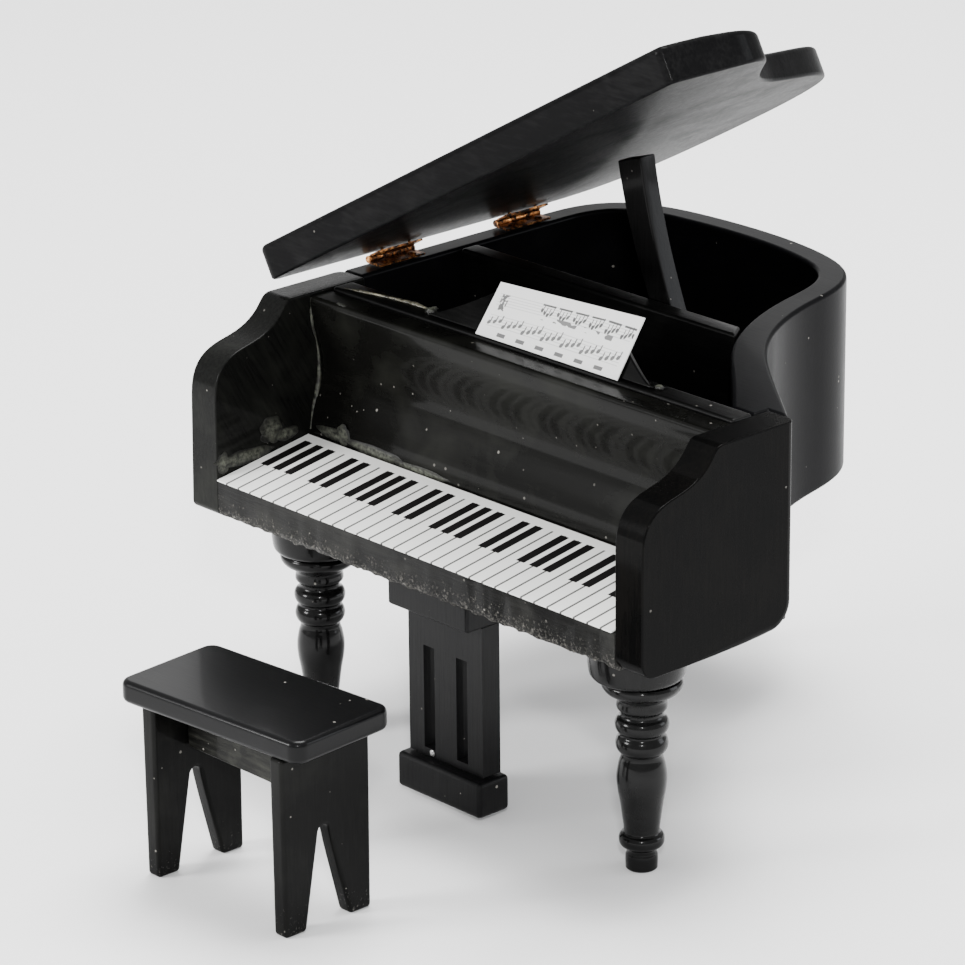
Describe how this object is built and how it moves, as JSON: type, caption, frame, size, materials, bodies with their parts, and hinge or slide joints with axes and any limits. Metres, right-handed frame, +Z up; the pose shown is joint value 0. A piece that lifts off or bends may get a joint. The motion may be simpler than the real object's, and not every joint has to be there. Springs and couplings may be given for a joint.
{
  "type": "miniature grand piano with stool",
  "caption": "Dolls-house grand piano in black lacquered wood with hinged lid on a prop, printed keyboard, music desk, turned legs, pedal lyre and separate stool.",
  "frame": {"origin": "on the floor, under the middle of the outer box of the piano and its stool, with the lid open and the stool pulled out", "axes": "+X from the bass side with the lid hinges to the treble side, +Y from the stool and keyboard to the tail, +Z up"},
  "size_m": [0.112, 0.1532, 0.1386],
  "materials": {
    "black_lacquer": "black satin-gloss lacquer over wood",
    "black_board": "black stained board, matt inside the case",
    "white_card": "matt white printed card",
    "hinge_brass": "copper-coloured brass, worn and partly blackened",
    "nail_steel": "small bright steel nail head"
  },
  "bodies": {
    "case": {"rim": "black_lacquer", "bottom_board": "black_board", "bass_cheek": "black_lacquer", "treble_cheek": "black_lacquer", "keybed": "black_lacquer", "key_sheet": "white_card", "fallboard": "black_lacquer", "desk_rail": "black_lacquer", "cross_rail": "black_board", "music_desk": "black_lacquer", "sheet_music": "white_card", "hinge_1_rim_leaf": "hinge_brass", "hinge_1_rim_nail_1": "hinge_brass", "hinge_1_rim_nail_2": "hinge_brass", "hinge_2_rim_leaf": "hinge_brass", "hinge_2_rim_nail_1": "hinge_brass", "hinge_2_rim_nail_2": "hinge_brass", "prop_block": "black_lacquer", "prop_nail": "nail_steel", "leg_bass": "black_lacquer", "leg_treble": "black_lacquer", "leg_tail": "black_lacquer", "leg_flange_bass": "black_lacquer", "leg_flange_treble": "black_lacquer", "leg_flange_tail": "black_lacquer", "lyre_block": "black_lacquer", "lyre_panel": "black_lacquer", "lyre_foot": "black_lacquer", "lyre_nail": "nail_steel"},
    "lid": {"lid": "black_lacquer", "hinge_1_lid_leaf": "hinge_brass", "hinge_1_pin": "hinge_brass", "hinge_1_lid_nail_1": "hinge_brass", "hinge_1_lid_nail_2": "hinge_brass", "hinge_2_lid_leaf": "hinge_brass", "hinge_2_pin": "hinge_brass", "hinge_2_lid_nail_1": "hinge_brass", "hinge_2_lid_nail_2": "hinge_brass"},
    "prop": {"prop_stick": "black_lacquer"},
    "stool": {"stool_seat": "black_lacquer", "stool_end_bass": "black_lacquer", "stool_end_treble": "black_lacquer", "stool_apron": "black_lacquer"}
  },
  "joints": [
    {"name": "lid_hinge", "type": "hinge", "parent": "case", "child": "lid", "pos_m": [-0.05301, 0.0182, 0.07795], "axis": [0, -1, 0], "range_deg": [-19.8, 0]},
    {"name": "prop_pivot", "type": "hinge", "parent": "case", "child": "prop", "pos_m": [-0.00221, 0.03671, 0.074], "axis": [-0.9563, 0, -0.2924], "range_deg": [0, 171]},
    {"name": "stool_slide", "type": "slide", "parent": "case", "child": "stool", "axis": [0, 1, 0], "range_m": [-0.02, 0.026]}
  ],
  "couplings": [
    {"joint": "prop_pivot", "follows": "lid_hinge", "ratio": -8.6}
  ]
}
